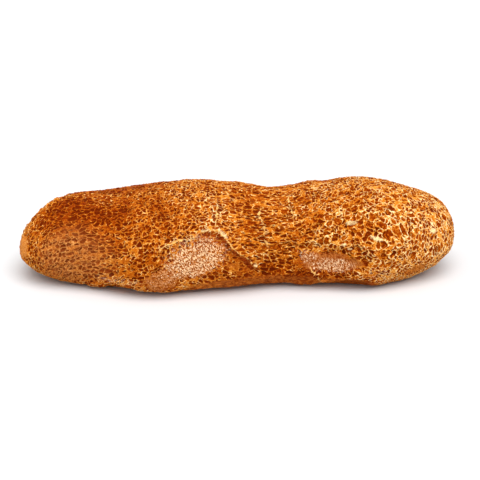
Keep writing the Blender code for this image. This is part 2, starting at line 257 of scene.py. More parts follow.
# ---- the plain form ----
def spline(stations, values):
    """A smooth curve through one value at each station."""
    xs = np.array(stations, float)
    ys = np.array(values, float)
    step = np.diff(xs)
    count = len(xs)
    system = np.eye(count)
    right = np.zeros(count)
    for i in range(1, count - 1):
        system[i, i - 1] = step[i - 1]
        system[i, i] = 2 * (step[i - 1] + step[i])
        system[i, i + 1] = step[i]
        right[i] = 6 * ((ys[i + 1] - ys[i]) / step[i] - (ys[i] - ys[i - 1]) / step[i - 1])
    bend = np.linalg.solve(system, right)

    def curve(x):
        x = np.clip(x, xs[0], xs[-1])
        i = np.clip(np.searchsorted(xs, x) - 1, 0, count - 2)
        before = x - xs[i]
        after = xs[i + 1] - x
        width = step[i]
        cubic = (bend[i] * after ** 3 + bend[i + 1] * before ** 3) / (6 * width)
        line_a = (ys[i] / width - bend[i] * width / 6) * after
        line_b = (ys[i + 1] / width - bend[i + 1] * width / 6) * before
        return cubic + line_a + line_b

    return curve


HALF_WIDTH = spline(STATIONS, HALF_WIDTHS)
TOP_HEIGHT = spline(STATIONS, TOP_HEIGHTS)
CENTRE = spline(STATIONS, CENTRE_LINE)


def girth(angle, endwise, base):
    """Distance from the spine, 1 at the widest line, at an angle from the top ridge.

    endwise is 0 on the flanks, where the side turns in sharply above the table, and 1 at
    the tips, where it is plainly round; base is the girth where it meets the table.
    """
    sunk = np.clip(-BELLY_TUCK * np.cos(angle), 0, 1)
    tucked = base + (1 - base) * np.sqrt(1 - sunk ** TUCK_ROUNDNESS)
    tucked = tucked - np.maximum(angle - BASE_ANGLE, 0)
    tucked = tucked + (np.sin(angle) - tucked) * endwise
    return np.where(angle < math.pi / 2, np.sin(angle), tucked)


def roll_up(p, q):
    """Place map points on the plain form, in millimetres."""
    spine = np.clip(p, SPINE_LEFT, SPINE_RIGHT)
    along = p - spine
    reach = np.hypot(along, q)
    safe = np.maximum(reach, 1e-9)
    angle = reach / UNROLL_RADIUS
    dir_z = np.cos(angle)
    out = girth(angle, np.abs(along) / safe, np.interp(spine, BASE_STATIONS, BASE_GIRTHS))
    dir_x = out * along / safe
    dir_y = out * q / safe
    x = spine + np.where(along < 0, LEFT_CAP, RIGHT_CAP) * dir_x
    half = HALF_WIDTH(x) - WAIST_PINCH * np.exp(-((x - WAIST_AT) / WAIST_PINCH_SPREAD) ** 2)
    top = TOP_HEIGHT(x) - WAIST_DROP * np.exp(-((x - WAIST_AT) / WAIST_DROP_SPREAD) ** 2)
    belly = np.interp(x, BELLY_STATIONS, BELLY_HEIGHTS)
    y = dir_y * half + CENTRE(x)
    upper = belly + dir_z * (top - belly)
    lower = np.maximum(belly * (1 + BELLY_TUCK * dir_z), 0)
    z = np.where(dir_z > 0, upper, lower)
    return np.stack([x, y, z], -1)


def outward(p, q):
    """Outward direction of the plain form at map points."""
    nudge = 0.4
    run = roll_up(p + nudge, q) - roll_up(p - nudge, q)
    rise = roll_up(p, q + nudge) - roll_up(p, q - nudge)
    normal = np.cross(run, rise)
    size = np.linalg.norm(normal, axis=-1, keepdims=True)
    return normal / np.maximum(size, 1e-9)


def fade(x, low, high):
    """0 below low, 1 above high, smooth between."""
    t = np.clip((x - low) / (high - low), 0, 1)
    return t * t * (3 - 2 * t)


def crust_reach(p, q):
    """Angle round from the top ridge."""
    return np.hypot(p - np.clip(p, SPINE_LEFT, SPINE_RIGHT), q) / UNROLL_RADIUS


def aloft(p, q):
    """1 on the crust, 0 where it lies on the table."""
    return 1 - fade(crust_reach(p, q), UNDER_ANGLE, GROUND_ANGLE)


# ---- lines and patches on the map ----
def line_distance(p, q, points):
    """Distance to a drawn line, its sign (+ on the left hand) and how far along (0 to 1)."""
    best = np.full(np.shape(p), 1e9)
    sign = np.ones(np.shape(p))
    where = np.zeros(np.shape(p))
    spans = len(points) - 1
    for i in range(spans):
        ax, ay = points[i]
        bx, by = points[i + 1]
        ex, ey = bx - ax, by - ay
        t = np.clip(((p - ax) * ex + (q - ay) * ey) / (ex * ex + ey * ey), 0, 1)
        gap_x = p - ax - t * ex
        gap_y = q - ay - t * ey
        gap = np.hypot(gap_x, gap_y)
        closer = gap < best
        best = np.where(closer, gap, best)
        sign = np.where(closer, np.sign(ex * gap_y - ey * gap_x), sign)
        where = np.where(closer, (i + t) / spans, where)
    return best, sign, where


def line_place(p, q, lines):
    """For the nearest of several lines: signed distance to it and how much of it is there."""
    side = np.full(np.shape(p), 99.0)
    part = np.zeros(np.shape(p))
    for points in lines:
        gap, sign, where = line_distance(p, q, points)
        closer = gap < np.abs(side)
        side = np.where(closer, gap * sign, side)
        tapered = fade(where, 0.0, LINE_TAPER) * (1 - fade(where, 1 - LINE_TAPER, 1.0))
        part = np.where(closer, tapered, part)
    return side, part


def patch(p, q, entry, inner, outer):
    """A soft ellipse: its strength inside, 0 outside, fading between two shares of its size."""
    middle_p, middle_q, half_long, half_wide, turn, strength = entry
    c, s = math.cos(math.radians(turn)), math.sin(math.radians(turn))
    along = (p - middle_p) * c + (q - middle_q) * s
    across = (q - middle_q) * c - (p - middle_p) * s
    return strength * (1 - fade(np.hypot(along / half_long, across / half_wide), inner, outer))


def patches(p, q, entries, inner, outer):
    """The strongest of several soft ellipses."""
    total = np.zeros(np.shape(p))
    for entry in entries:
        total = np.maximum(total, patch(p, q, entry, inner, outer))
    return total


def uncrackled(p, q):
    """1 on the underside and on the foot of the loaf, 0 on the crackled crust."""
    under = fade(crust_reach(p, q), FOOT_ANGLE, SOLE_ANGLE)
    return np.maximum(under, patches(p, q, FOOT, *FOOT_EDGE))


# ---- landforms ----
def wave(a, b, length, waver, waver_length, start):
    """Waves that run along a, with crests that waver along b."""
    return np.sin(a / length + waver * np.sin(b / waver_length + start))


def lip_height(p, q):
    """Height that the lips add: raised on their outer side, sunk on the inner."""
    height = np.zeros(np.shape(p))
    for points, rise, fall, reach in LIPS:
        side, part = line_place(p, q, (points,))
        outer = rise * np.exp(-np.abs(side) / LIP_ROLL)
        inner = -fall * np.exp(-(side / reach) ** 2)
        height = height + part * (inner + (outer - inner) * fade(side, -LIP_HALF, LIP_HALF))
    return height


def fold_height(p, q):
    """Height that the folds add."""
    height = np.zeros(np.shape(p))
    for points, rise, half in FOLDS:
        side, part = line_place(p, q, (points,))
        height = height + rise * part * np.exp(-(side / half) ** 2)
    return height


def landforms(p, q):
    """Height of lips, folds, hollows, dents, bulges and slow swells above the plain form."""
    height = SWELL_HEIGHT * (wave(p, q, *SWELL_ALONG) + wave(q, p, *SWELL_ACROSS)) / 2
    for dent in FLOURED_HOLLOWS + DENTS:
        height = height - patch(p, q, dent, *DENT_EDGE)
    for bulge in BULGES:
        height = height + patch(p, q, bulge, *BULGE_EDGE)
    height = height + lip_height(p, q) + fold_height(p, q)
    return height * aloft(p, q)


# ---- crust mesh ----
def net_place(p, q):
    """Where the cell network is read: true distances from the ridge, bent by the lenses."""
    spine = np.clip(p, SPINE_LEFT, SPINE_RIGHT)
    arc = np.zeros(np.shape(p))
    before = roll_up(spine, 0 * q)
    for step in range(1, ARC_STEPS + 1):
        share = step / ARC_STEPS
        after = roll_up(spine + (p - spine) * share, q * share)
        arc = arc + np.linalg.norm(after - before, axis=-1)
        before = after
    stretch = arc / np.maximum(np.hypot(p - spine, q), 1e-6)
    net_p = (spine + (p - spine) * stretch) * NET_SQUEEZE
    net_q = q * stretch / NET_SQUEEZE
    for middle_p, middle_q, reach, change_p, change_q in LENSES:
        off_p, off_q = p - middle_p, q - middle_q
        pull = np.exp(-(off_p ** 2 + off_q ** 2) / reach ** 2)
        net_p = net_p + change_p * off_p * pull
        net_q = net_q + change_q * off_q * pull
    return net_p, net_q


def flat_grid():
    """A square grid over the whole map, trimmed to where the map meets the base."""
    radius = UNROLL_RADIUS * SEAL_ANGLE
    half_p = (SPINE_RIGHT - SPINE_LEFT) / 2 + radius
    middle_p = (SPINE_RIGHT + SPINE_LEFT) / 2
    grid = bmesh.new()
    bmesh.ops.create_grid(grid, x_segments=int(2 * half_p / MESH_STEP),
                          y_segments=int(2 * radius / MESH_STEP), size=1.0)
    bmesh.ops.scale(grid, vec=(half_p, radius, 1), verts=grid.verts)
    bmesh.ops.translate(grid, vec=(middle_p, 0, 0), verts=grid.verts)
    corners = np.array([vert.co[:2] for vert in grid.verts])
    outside = crust_reach(corners[:, 0], corners[:, 1]) > SEAL_ANGLE
    cut_off = [vert for vert, out in zip(grid.verts, outside) if out]
    bmesh.ops.delete(grid, geom=cut_off, context="VERTS")
    mesh = bpy.data.meshes.new("crust")
    grid.to_mesh(mesh)
    grid.free()
    return mesh


def put_attribute(mesh, name, values):
    """Store one number, or three, at each corner of the mesh."""
    kind, slot = ("FLOAT", "value") if values.ndim == 1 else ("FLOAT_VECTOR", "vector")
    attribute = mesh.attributes.new(name, kind, "POINT")
    attribute.data.foreach_set(slot, values.astype(np.float32).ravel())


def store_regions(mesh, p, q):
    """Store the map, the cell network, the drawn lines and the regions on the mesh."""
    net_p, net_q = net_place(p, q)
    put_attribute(mesh, "map", np.stack([p, q, 0 * p], -1))
    put_attribute(mesh, "net", np.stack([net_p, net_q, 0 * p], -1))
    put_attribute(mesh, "aloft", aloft(p, q))
    put_attribute(mesh, "under", uncrackled(p, q))
    for name, entries, inner, outer in REGIONS:
        put_attribute(mesh, name, patches(p, q, entries, inner, outer))
    for name, lines in (("lip", [TORN_LIP]), ("fold", [fold[0] for fold in FOLDS])):
        side, part = line_place(p, q, lines)
        put_attribute(mesh, name + "_side", side)
        put_attribute(mesh, name + "_part", part)


def close_base(mesh):
    """Close the rim of the map, which lies on the table, with a flat base."""
    closed = bmesh.new()
    closed.from_mesh(mesh)
    rim = [edge for edge in closed.edges if edge.is_boundary]
    bmesh.ops.holes_fill(closed, edges=rim, sides=0)
    bmesh.ops.triangulate(closed, faces=[face for face in closed.faces if len(face.verts) > 4])
    bmesh.ops.recalc_face_normals(closed, faces=closed.faces)
    for face in closed.faces:
        face.smooth = True
    closed.to_mesh(mesh)
    closed.free()


def crust_mesh():
    """The crust with its landforms, closed underneath, and its regions stored on it."""
    mesh = flat_grid()
    flat = np.empty(len(mesh.vertices) * 3, np.float32)
    mesh.vertices.foreach_get("co", flat)
    p, q = flat.reshape(-1, 3)[:, :2].T.astype(float)
    place = roll_up(p, q) + outward(p, q) * landforms(p, q)[:, None]
    place[:, 2] = np.maximum(place[:, 2], 0)
    place[:, :2] -= (place[:, :2].min(axis=0) + place[:, :2].max(axis=0)) / 2
    mesh.vertices.foreach_set("co", (place * MM).astype(np.float32).ravel())
    store_regions(mesh, p, q)
    close_base(mesh)
    return mesh


# ---- node building ----
class Nodes:
    """Short names for the nodes of a shader tree or a geometry tree."""

    def __init__(self, tree):
        self.tree = tree
        self.is_shader = tree.type == "SHADER"

    def put(self, socket, value):
        """Link a socket to an input, or set its value; None leaves it as it is."""
        if isinstance(value, bpy.types.NodeSocket):
            self.tree.links.new(value, socket)
        elif value is not None:
            socket.default_value = value

    def make(self, kind, inputs=None, **settings):
        """A new node with these settings and inputs."""
        node = self.tree.nodes.new(kind)
        for name, value in settings.items():
            setattr(node, name, value)
        for name, value in (inputs or {}).items():
            self.put(node.inputs[name], value)
        return node

    def read(self, name, vector=False):
        """A value stored on the mesh."""
        if self.is_shader:
            node = self.make("ShaderNodeAttribute", attribute_name=name)
            return node.outputs["Vector" if vector else "Fac"]
        node = self.make("GeometryNodeInputNamedAttribute", {"Name": name},
                         data_type="FLOAT_VECTOR" if vector else "FLOAT")
        return node.outputs["Attribute"]

    def math(self, operation, a, b=None, c=None):
        """One step of arithmetic on numbers."""
        node = self.make("ShaderNodeMath", operation=operation)
        for i, value in enumerate((a, b, c)):
            self.put(node.inputs[i], value)
        return node.outputs[0]

    def times(self, product, *factors):
        """The product of two or more numbers."""
        for factor in factors:
            product = self.math("MULTIPLY", product, factor)
        return product

    def linear(self, value, slope, start):
        """start where the value is 0, and slope more for each 1 of the value."""
        return self.math("MULTIPLY_ADD", value, slope, start)

    def opposite(self, value):
        """1 where the value is 0, 0 where it is 1."""
        return self.math("SUBTRACT", 1.0, value)

    def vector(self, operation, a, b=None, scale=None):
        """One step of arithmetic on places; the fourth input is the factor of SCALE."""
        node = self.make("ShaderNodeVectorMath", operation=operation)
        self.put(node.inputs[0], a)
        self.put(node.inputs[1], b)
        self.put(node.inputs[3], scale)
        return node.outputs[0]

    def squeezed(self, place, along, across):
        """The place with each coordinate multiplied; below 1 a noise there is drawn out."""
        return self.vector("MULTIPLY", place, (along, across, 1.0))

    def fade(self, value, low, high, start=0.0, end=1.0):
        """start below low, end above high, smooth between."""
        inputs = {"Value": value, "From Min": low, "From Max": high, "To Min": start, "To Max": end}
        node = self.make("ShaderNodeMapRange", inputs, interpolation_type="SMOOTHSTEP")
        return node.outputs["Result"]

    def blend(self, factor, a, b):
        """a where the factor is 0, b where it is 1; the mix node has numbers at inputs 2 and 3."""
        node = self.make("ShaderNodeMix", data_type="FLOAT")
        for i, value in ((0, factor), (2, a), (3, b)):
            self.put(node.inputs[i], value)
        return node.outputs[0]

    def tint(self, factor, a, b):
        """The same for colours, which the mix node has at inputs 6 and 7."""
        node = self.make("ShaderNodeMix", data_type="RGBA")
        for i, value in ((0, factor), (6, a), (7, b)):
            self.put(node.inputs[i], value)
        return node.outputs[2]

    def noise(self, place, size, detail=2.0, roughness=0.6, colour=False):
        """Noise from 0 to 1 with lumps of about this size in millimetres."""
        inputs = {"Vector": place, "Scale": 1.0 / size, "Detail": detail, "Roughness": roughness}
        node = self.make("ShaderNodeTexNoise", inputs, noise_dimensions="2D")
        return node.outputs["Color" if colour else 0]

    def wobble(self, place, size, detail=2.0, roughness=0.6):
        """The same noise from -0.5 to 0.5."""
        return self.math("SUBTRACT", self.noise(place, size, detail, roughness), 0.5)

    def cells(self, place, size, feature):
        """Irregular cells of about this size in millimetres."""
        inputs = {"Vector": place, "Scale": 1.0 / size}
        return self.make("ShaderNodeTexVoronoi", inputs, voronoi_dimensions="2D", feature=feature)

    def ramp(self, value, stops):
        """A colour for each stretch of the value."""
        node = self.make("ShaderNodeValToRGB", {"Fac": value})
        elements = node.color_ramp.elements
        while len(elements) < len(stops):
            elements.new(0.5)
        for element, (position, colour) in zip(elements, stops):
            element.position = position
            element.color = colour
        return node.outputs["Color"]


def strayed(n, place, size, reach):
    """The place moved about by noise with lumps of this size."""
    stray = n.vector("SUBTRACT", n.noise(place, size, colour=True), (0.5, 0.5, 0.5))
    return n.vector("ADD", place, n.vector("SCALE", stray, scale=reach))


FRAY_SIZE = 6.0


def frayed(n, name, place, low=0.35, high=0.65):
    """A stored region whose edge is broken up by noise."""
    uneven = n.linear(n.noise(place, FRAY_SIZE, 4.0, 0.7), 3.0, -0.5)
    return n.fade(n.times(n.read(name), uneven), low, high)


# ---- cells, rims and drawn lines, the same for the relief and for the colours ----
# A layer of cells: size, and the least and the greatest radius of a hole in cell sizes.
LARGE_CELLS = (6.6, 0.20, 0.62)
SMALL_CELLS = (3.9, 0.30, 0.80)
FINE_CELLS = (2.0, 0.28, 0.70)
HOLE_ROUNDING = 0.6            # how far the corners of a hole are rounded
# How noise bends the net: size of its lumps, how far it moves a place.
SWEEP = (12.0, 8.0)
LARGE_BEND = (3.5, 2.0)
SMALL_BEND = (2.5, 1.2)
FINE_SWEEP = (9.0, 6.0)
FINE_BEND = (1.6, 1.3)

AREA_SIZE = 11.0               # lumps of the noise that breaks up the areas of large cells
PATCH_SIZE = 7.0               # lumps of the noise that varies rims and walls
RIM_WIDTHS = (0.32, 0.62)      # from the edge of a hole to where its rim ends
SMALL_RIM = 0.75               # width of a small cell's rim, 1 for that of a large cell
FINE_RIM = 0.32
# How far inside its edge the wall of a hole begins and ends; a pair varies between its values.
LARGE_WALL = ((0.1, 0.4), (0.9, 1.4))
SMALL_WALL = ((0.0, 0.15), (0.65, 1.0))
FINE_WALL = (0.05, 0.4)        # the same on every patch
GROOVE_SIZE = 0.9

WANDER_SIZE = 4.0              # lumps of the noise along which drawn lines waver
WANDER_REACH = 5.0
LINE_CORE = 0.3                # share of a line's half width in which it has its full strength
SEAM_HALF = 0.8                # half width of the cream seam along a fold
SEAM_GAPS = 4.5                # lumps of the noise that breaks the seam
SEAM_REACH = 4.5               # how far from it rims are stronger
LIP_EDGE_AT = 1.5              # the torn edge lies this far outside the lip's line
LIP_EDGE_HALF = 0.8
LIP_EDGE_GAPS = 4.0
LIP_WANDER = 0.4               # waver of the torn edge, 1 for that of a seam
LIP_SHADE_START = (-6.0, -1.0)   # towards the lip, painted shade darkens its wall between these distances
LIP_SHADE_END = (0.2, 0.9)       # and the painted shade fades out again between these
# lumps of the noise that makes the painted shade below the lip patchy
LIP_SHADE_PATCHES = 7.0


class Holes:
    """The rounded holes of one layer of cells.

    inside: millimetres inside the edge of a hole, negative outside it
    tone, strength: two random draws for each cell, for its floor and for its rim
    """

    def __init__(self, n, place, size, low, high):
        edge = n.times(n.cells(place, size, "DISTANCE_TO_EDGE").outputs["Distance"], size)
        cell = n.cells(place, size, "F1")
        kind = "ShaderNodeSeparateColor" if n.is_shader else "FunctionNodeSeparateColor"
        draws = n.make(kind, {"Color": cell.outputs["Color"]})
        radius = n.blend(draws.outputs[0], low, high)
        circle = n.times(n.math("SUBTRACT", radius, cell.outputs["Distance"]), size)
        self.inside = n.math("SMOOTH_MIN", edge, circle, HOLE_ROUNDING)
        self.tone = draws.outputs[1]
        self.strength = draws.outputs[2]

    def rim(self, n, width):
        """The rim of the holes, 1 at their edge."""
        return n.fade(n.math("ABSOLUTE", self.inside), 0.0, width, 1.0, 0.0)

    def floor(self, n, wall, patchy):
        """The floor of the holes, 1 inside the foot of their wall."""
        top, foot = [n.fade(patchy, 0.35, 0.8, least, most) for least, most in wall]
        return n.fade(self.inside, top, foot)


class Crust:
    """What the crust is at each place, as values from 0 to 1 in a node tree.

    crackled: it has large or small cells; covered: it has any cells at all
    bare, foot: the bald left tip, and the uncrackled underside
    seam, beside: the cream line along a fold, and the crust beside it
    lip, lip_painted_shade: the cream edge of a torn lip, and painted shade on the wall below it
    large: how large the cells are; roomy: the same inside a hole of a large cell
    rims, floor, tone: rims and floors of the cells, and how deep and dark a floor is
    grooves, flakes: fine stripes on floors, from -0.5 to 0.5, and torn flakes
    """

    def __init__(self, n):
        self.n = n
        self.place = n.read("map", vector=True)
        # darker crust: baked darker in places, and painted shade in the hollows, under the lips and low
        # on the front
        self.baked = n.read("baked")
        self.crackled = n.opposite(frayed(n, "floured", self.place))
        self.bare = frayed(n, "bare", self.place)
        self.foot = frayed(n, "under", self.place, 0.15, 0.4)
        self.covered = n.opposite(n.math("MAXIMUM", self.bare, n.times(self.foot, 0.7)))
        wander = n.times(n.wobble(self.place, WANDER_SIZE, 3.0), WANDER_REACH)
        self.seam, self.beside = self.fold_lines(wander)
        # the torn edge, and painted shade on the wall below the lip
        self.lip, self.lip_painted_shade = self.lip_lines(wander)

        net = n.read("net", vector=True)
        swept = strayed(n, net, *SWEEP)
        bent = strayed(n, swept, *LARGE_BEND)
        large = Holes(n, bent, *LARGE_CELLS)
        small = Holes(n, strayed(n, swept, *SMALL_BEND), *SMALL_CELLS)
        fine = Holes(n, strayed(n, strayed(n, net, *FINE_SWEEP), *FINE_BEND), *FINE_CELLS)
        patchy = n.noise(net, PATCH_SIZE)
        area = n.linear(n.wobble(self.place, AREA_SIZE), 2.0, n.read("large"))
        self.large = n.fade(area, 0.3, 0.6)
        self.roomy = n.times(self.large, n.fade(large.inside, -0.3, 0.1))
        self.rims = self.cell_rims(large, small, fine, patchy)
        self.floor = self.cell_floors(large, small, fine, patchy)
        self.tone = n.blend(self.roomy, small.tone, large.tone)
        self.grooves = self.floor_grooves(bent)
        self.flakes = self.torn_flakes()

    def drawn_line(self, side, part, wander, half):
        """A thin wavering line along stored signed distances."""
        n = self.n
        off = n.math("ABSOLUTE", n.math("ADD", side, wander))
        return n.times(part, n.fade(off, half * LINE_CORE, half, 1.0, 0.0))

    def fold_lines(self, wander):
        """The seam along each fold, with gaps, and the crust beside it."""
        n = self.n
        side, part = n.read("fold_side"), n.read("fold_part")
        seam = self.drawn_line(side, part, wander, SEAM_HALF)
        seam = n.times(seam, n.fade(n.noise(self.place, SEAM_GAPS), 0.39, 0.53))
        return seam, self.drawn_line(side, part, wander, SEAM_REACH)

    def lip_lines(self, wander):
        """The torn edge of the lip, weak in places, and painted shade on the wall below it."""
        n = self.n
        side, part = n.read("lip_side"), n.read("lip_part")
        off = n.math("SUBTRACT", side, LIP_EDGE_AT)
        edge = self.drawn_line(off, part, n.times(wander, LIP_WANDER), LIP_EDGE_HALF)
        edge = n.times(edge, n.fade(n.noise(self.place, LIP_EDGE_GAPS), 0.40, 0.56, 0.1, 1.0))
        # painted shade: darkens the wall below the lip, in patches
        lip_painted_shade = n.times(n.fade(side, *LIP_SHADE_START), n.fade(side, *LIP_SHADE_END, 1.0, 0.0), part,
                          n.fade(n.noise(self.place, LIP_SHADE_PATCHES), 0.36, 0.56, 0.4, 1.0))
        return edge, lip_painted_shade

    def cell_rims(self, large, small, fine, patchy):
        """Rims of the large cells, of small ones between them, and faintly of the finest."""
        n = self.n
        width = n.fade(patchy, 0.3, 0.7, *RIM_WIDTHS)
        rim = n.times(large.rim(n, width), n.fade(large.strength, 0.1, 0.6, 0.35, 1.0))
        small_rim = n.times(small.rim(n, n.times(width, SMALL_RIM)),
                            n.fade(small.strength, 0.0, 0.5, 0.5, 1.0))
        rim = n.math("MAXIMUM", n.times(rim, self.large), n.blend(self.roomy, small_rim, 0.0))
        rim = n.times(rim, self.crackled)
        fine_rim = n.times(fine.rim(n, FINE_RIM), n.fade(fine.strength, 0.3, 0.8, 0.0, 0.45))
        return n.times(n.math("MAXIMUM", rim, fine_rim), self.covered, n.linear(self.beside, 0.7, 1.0))

    def cell_floors(self, large, small, fine, patchy):
        """Floors of the cells, left out under drawn lines and fainter in the darker crust, both baked and
        painted shade.
        """
        n = self.n
        floor = n.blend(self.roomy, small.floor(n, SMALL_WALL, patchy),
                        large.floor(n, LARGE_WALL, patchy))
        undrawn = n.opposite(n.math("MAXIMUM", self.seam, self.lip))
        floor = n.times(floor, n.times(self.crackled, undrawn))
        speck = n.times(n.fade(fine.inside, *FINE_WALL), n.fade(fine.tone, 0.4, 1.0, 0.0, 0.65))
        return n.times(n.math("MAXIMUM", floor, speck), n.linear(self.baked, -0.25, 1.0), self.covered)

    def floor_grooves(self, bent):
        """Fine stripes on the floors of the large cells."""
        n = self.n
        stripes = n.wobble(n.squeezed(bent, 1.0, 0.4), GROOVE_SIZE, 1.0, 0.5)
        return n.times(stripes, n.times(self.floor, self.roomy))

    def torn_flakes(self):
        """Flakes with a torn outline, weaker over the floors of cells."""
        n = self.n
        torn = n.linear(n.noise(self.place, 1.6, 3.0, 0.7), 3.0, -0.3)
        flakes = n.fade(n.times(n.read("flakes"), torn), 0.3, 0.7)
        return n.times(flakes, n.linear(self.floor, -0.5, 1.0))


# ---- relief, in millimetres ----
SHALLOWEST_PIT = 0.585         # depths of the large cells' floors
DEEPEST_PIT = 1.56
SMALL_PIT = 0.6                # depth of a small cell, 1 for that of a large one
RIM_HEIGHT = 0.35
FLAKE_HEIGHT = 0.8
GRAIN_SIZE = 2.0
GRAIN_HEIGHT = 0.5
LUMP_SIZE = 8.0
LUMP_HEIGHTS = (1.5, 5.0)      # on most of the crust, and on the ragged shoulder


def cell_relief(crust):
    """Height of the cell network, the seams and the flakes."""
    n = crust.n
    deep = n.times(crust.floor, n.blend(crust.tone, -SHALLOWEST_PIT, -DEEPEST_PIT),
                   n.blend(crust.large, SMALL_PIT, 1.0))
    height = n.linear(n.math("MAXIMUM", crust.rims, crust.seam), RIM_HEIGHT, deep)
    return n.linear(crust.flakes, FLAKE_HEIGHT, height)


def geometry_tree(name):
    """An empty geometry node tree with one way in and one way out."""
    tree = bpy.data.node_groups.new(name, "GeometryNodeTree")
    for way in ("INPUT", "OUTPUT"):
        tree.interface.new_socket("Geometry", in_out=way, socket_type="NodeSocketGeometry")
    return tree


def keep_result(thing, tree):
    """Run a geometry node tree on an object and keep what comes out as its mesh."""
    modifier = thing.modifiers.new(tree.name, "NODES")
    modifier.node_group = tree
    ready = thing.evaluated_get(bpy.context.evaluated_depsgraph_get())
    mesh = bpy.data.meshes.new_from_object(ready)
    mesh.name = tree.name
    thing.modifiers.clear()
    thing.data = mesh


def sink_cells(loaf):
    """Press the cell network into the crust with geometry nodes, and keep the result."""
    tree = geometry_tree("crust_cells")
    n = Nodes(tree)
    start = n.make("NodeGroupInput")
    end = n.make("NodeGroupOutput")
    crust = Crust(n)
    grain = n.times(n.wobble(crust.place, GRAIN_SIZE), GRAIN_HEIGHT)
    lumps = n.times(n.wobble(crust.place, LUMP_SIZE, 3.0), n.blend(n.read("ragged"), *LUMP_HEIGHTS))
    height = n.math("ADD", cell_relief(crust), n.math("ADD", grain, lumps))
    height = n.times(height, n.read("aloft"), MM)
    normal = n.make("GeometryNodeInputNormal").outputs[0]
    offset = n.vector("SCALE", normal, scale=height)
    moved = n.make("GeometryNodeSetPosition", {"Geometry": start.outputs[0], "Offset": offset})
    n.put(end.inputs[0], moved.outputs[0])
    keep_result(loaf, tree)


# ---- colours ----
def shade(red, green, blue):
    """A colour as seen on a screen, 0 to 255, as linear light."""
    parts = []
    for value in (red, green, blue):
        value = value / 255
        parts.append(value / 12.92 if value <= 0.04045 else ((value + 0.055) / 1.055) ** 2.4)
    return (*parts, 1.0)


# From cream rims, over golden shoulders, to the dark floors of the cells.
CRUST_RAMP = (
    (0.0, shade(253, 226, 170)),
    (0.16, shade(246, 192, 108)),
    (0.34, shade(222, 140, 42)),
    (0.52, shade(187, 95, 10)),
    (0.70, shade(152, 60, 1)),
    (0.86, shade(124, 41, 0)),
    (1.0, shade(98, 28, 0)),
)
SHOULDER = 0.50                # place of plain crust on the ramp
FLOOR_DARKNESS = (0.24, 0.54)  # how much further along a floor is, at its palest and darkest
RIM_BRIGHTNESS = (0.22, 0.72)  # how much less far a rim is, at its faintest and brightest
# A pair holds the two colours between which a surface is mottled.
TAN = (shade(202, 124, 58), shade(136, 63, 14))
TAN_FLOOR = shade(112, 42, 6)
TAN_RIM = shade(222, 154, 92)
# darker tan where the crust is darker: baked crust and painted shade
TAN_BAKED_AND_SHADE = shade(124, 52, 8)
BALD = (shade(226, 152, 74), shade(178, 96, 28))
HOLLOW = (shade(194, 115, 52), shade(134, 62, 14))
# darker hollow crust: painted shade, most of all in the hollow under the second lip
HOLLOW_BAKED_AND_SHADE = shade(120, 50, 12)
# painted shade on the wall under the torn lip, mottled between two dark browns
LIP_WALL_SHADE = (shade(176, 70, 16), shade(120, 38, 6))
LIP_EDGE = shade(248, 192, 108)
SEAM = shade(248, 198, 116)
FLAKE = shade(252, 216, 156)
SOLE = (shade(208, 120, 44), shade(104, 36, 4))
DUST = shade(248, 214, 168)
GRAINS = (shade(216, 152, 90), shade(255, 240, 206))
GROUND = (0.7, 0.7, 0.705, 1.0)

MOTTLE = (2.0, 4.0, 0.75)      # noise of the tan and of the bald crust: size, detail, roughness
STROKE_LEAN = -0.42            # radians between the strokes of flour and the map
CRUST_SHINE = 0.02
MATTE_ROUGHNESS = 0.9
MATTE_SHINE = 0.1


def new_material(name):
    """A new material, its nodes and its shader."""
    material = bpy.data.materials.new(name)
    material.use_nodes = True
    return material, Nodes(material.node_tree), material.node_tree.nodes["Principled BSDF"]


def crackled_colour(crust, streaks):
    """Crackled crust, read from the ramp: lighter on rims, on paler crust and under painted light; darker
    on floors, in baked crust and under painted shade.
    """
    n, place, baked = crust.n, crust.place, crust.baked
    # lighter crust and brighter rims: paler crust, and painted light on the right end and high on the
    # loaf
    pale = n.read("pale")
    depth = n.linear(crust.floor, n.blend(crust.tone, *FLOOR_DARKNESS), SHOULDER)
    bright = n.times(n.fade(n.noise(place, 3.0), 0.34, 0.66, *RIM_BRIGHTNESS),
                     n.linear(pale, 0.52, 0.68),
                     n.linear(baked, -0.15, 1.0),
                     n.linear(n.read("dotted"), -0.4, 1.0))
    depth = n.math("SUBTRACT", depth, n.times(crust.rims, bright))
    depth = n.linear(n.wobble(place, 1.1, 3.0, 0.7), n.linear(pale, -0.3, 0.7), depth)
    depth = n.linear(n.math("SUBTRACT", streaks, 0.5), n.linear(baked, 0.4, 0.5), depth)
    depth = n.linear(n.wobble(place, 16.0, 3.0), 0.4, depth)
    # darker where the crust is baked darker, and where painted shade lies
    depth = n.linear(baked, 0.27, depth)
    depth = n.linear(pale, -0.10, depth)
    depth = n.linear(crust.grooves, 1.1, depth)
    return n.ramp(depth, CRUST_RAMP)


def tan_colour(crust):
    """The duller crust of the left end."""
    n = crust.n
    tan = n.tint(n.fade(n.noise(crust.place, *MOTTLE), 0.3, 0.7), *TAN)
    tan = n.tint(n.times(crust.floor, n.blend(crust.tone, 0.5, 0.95)), tan, TAN_FLOOR)
    tan = n.tint(n.times(crust.rims, 0.7), tan, TAN_RIM)
    return n.tint(n.times(crust.baked, 0.5), tan, TAN_BAKED_AND_SHADE)


def bald_colour(crust):
    """The bald tip of the left end."""
    n = crust.n
    return n.tint(n.fade(n.noise(crust.place, *MOTTLE), 0.35, 0.65), *BALD)


def flour_strokes(crust):
    """Noise in short leaning strokes, as flour is dragged over the hollows."""
    n = crust.n
    leaned = n.make("ShaderNodeVectorRotate",
                    {"Vector": strayed(n, crust.place, 3.0, 2.4), "Angle": STROKE_LEAN},
                    rotation_type="Z_AXIS").outputs[0]
    return n.noise(n.squeezed(leaned, 0.95, 0.34), 0.8, 1.0, 0.5)


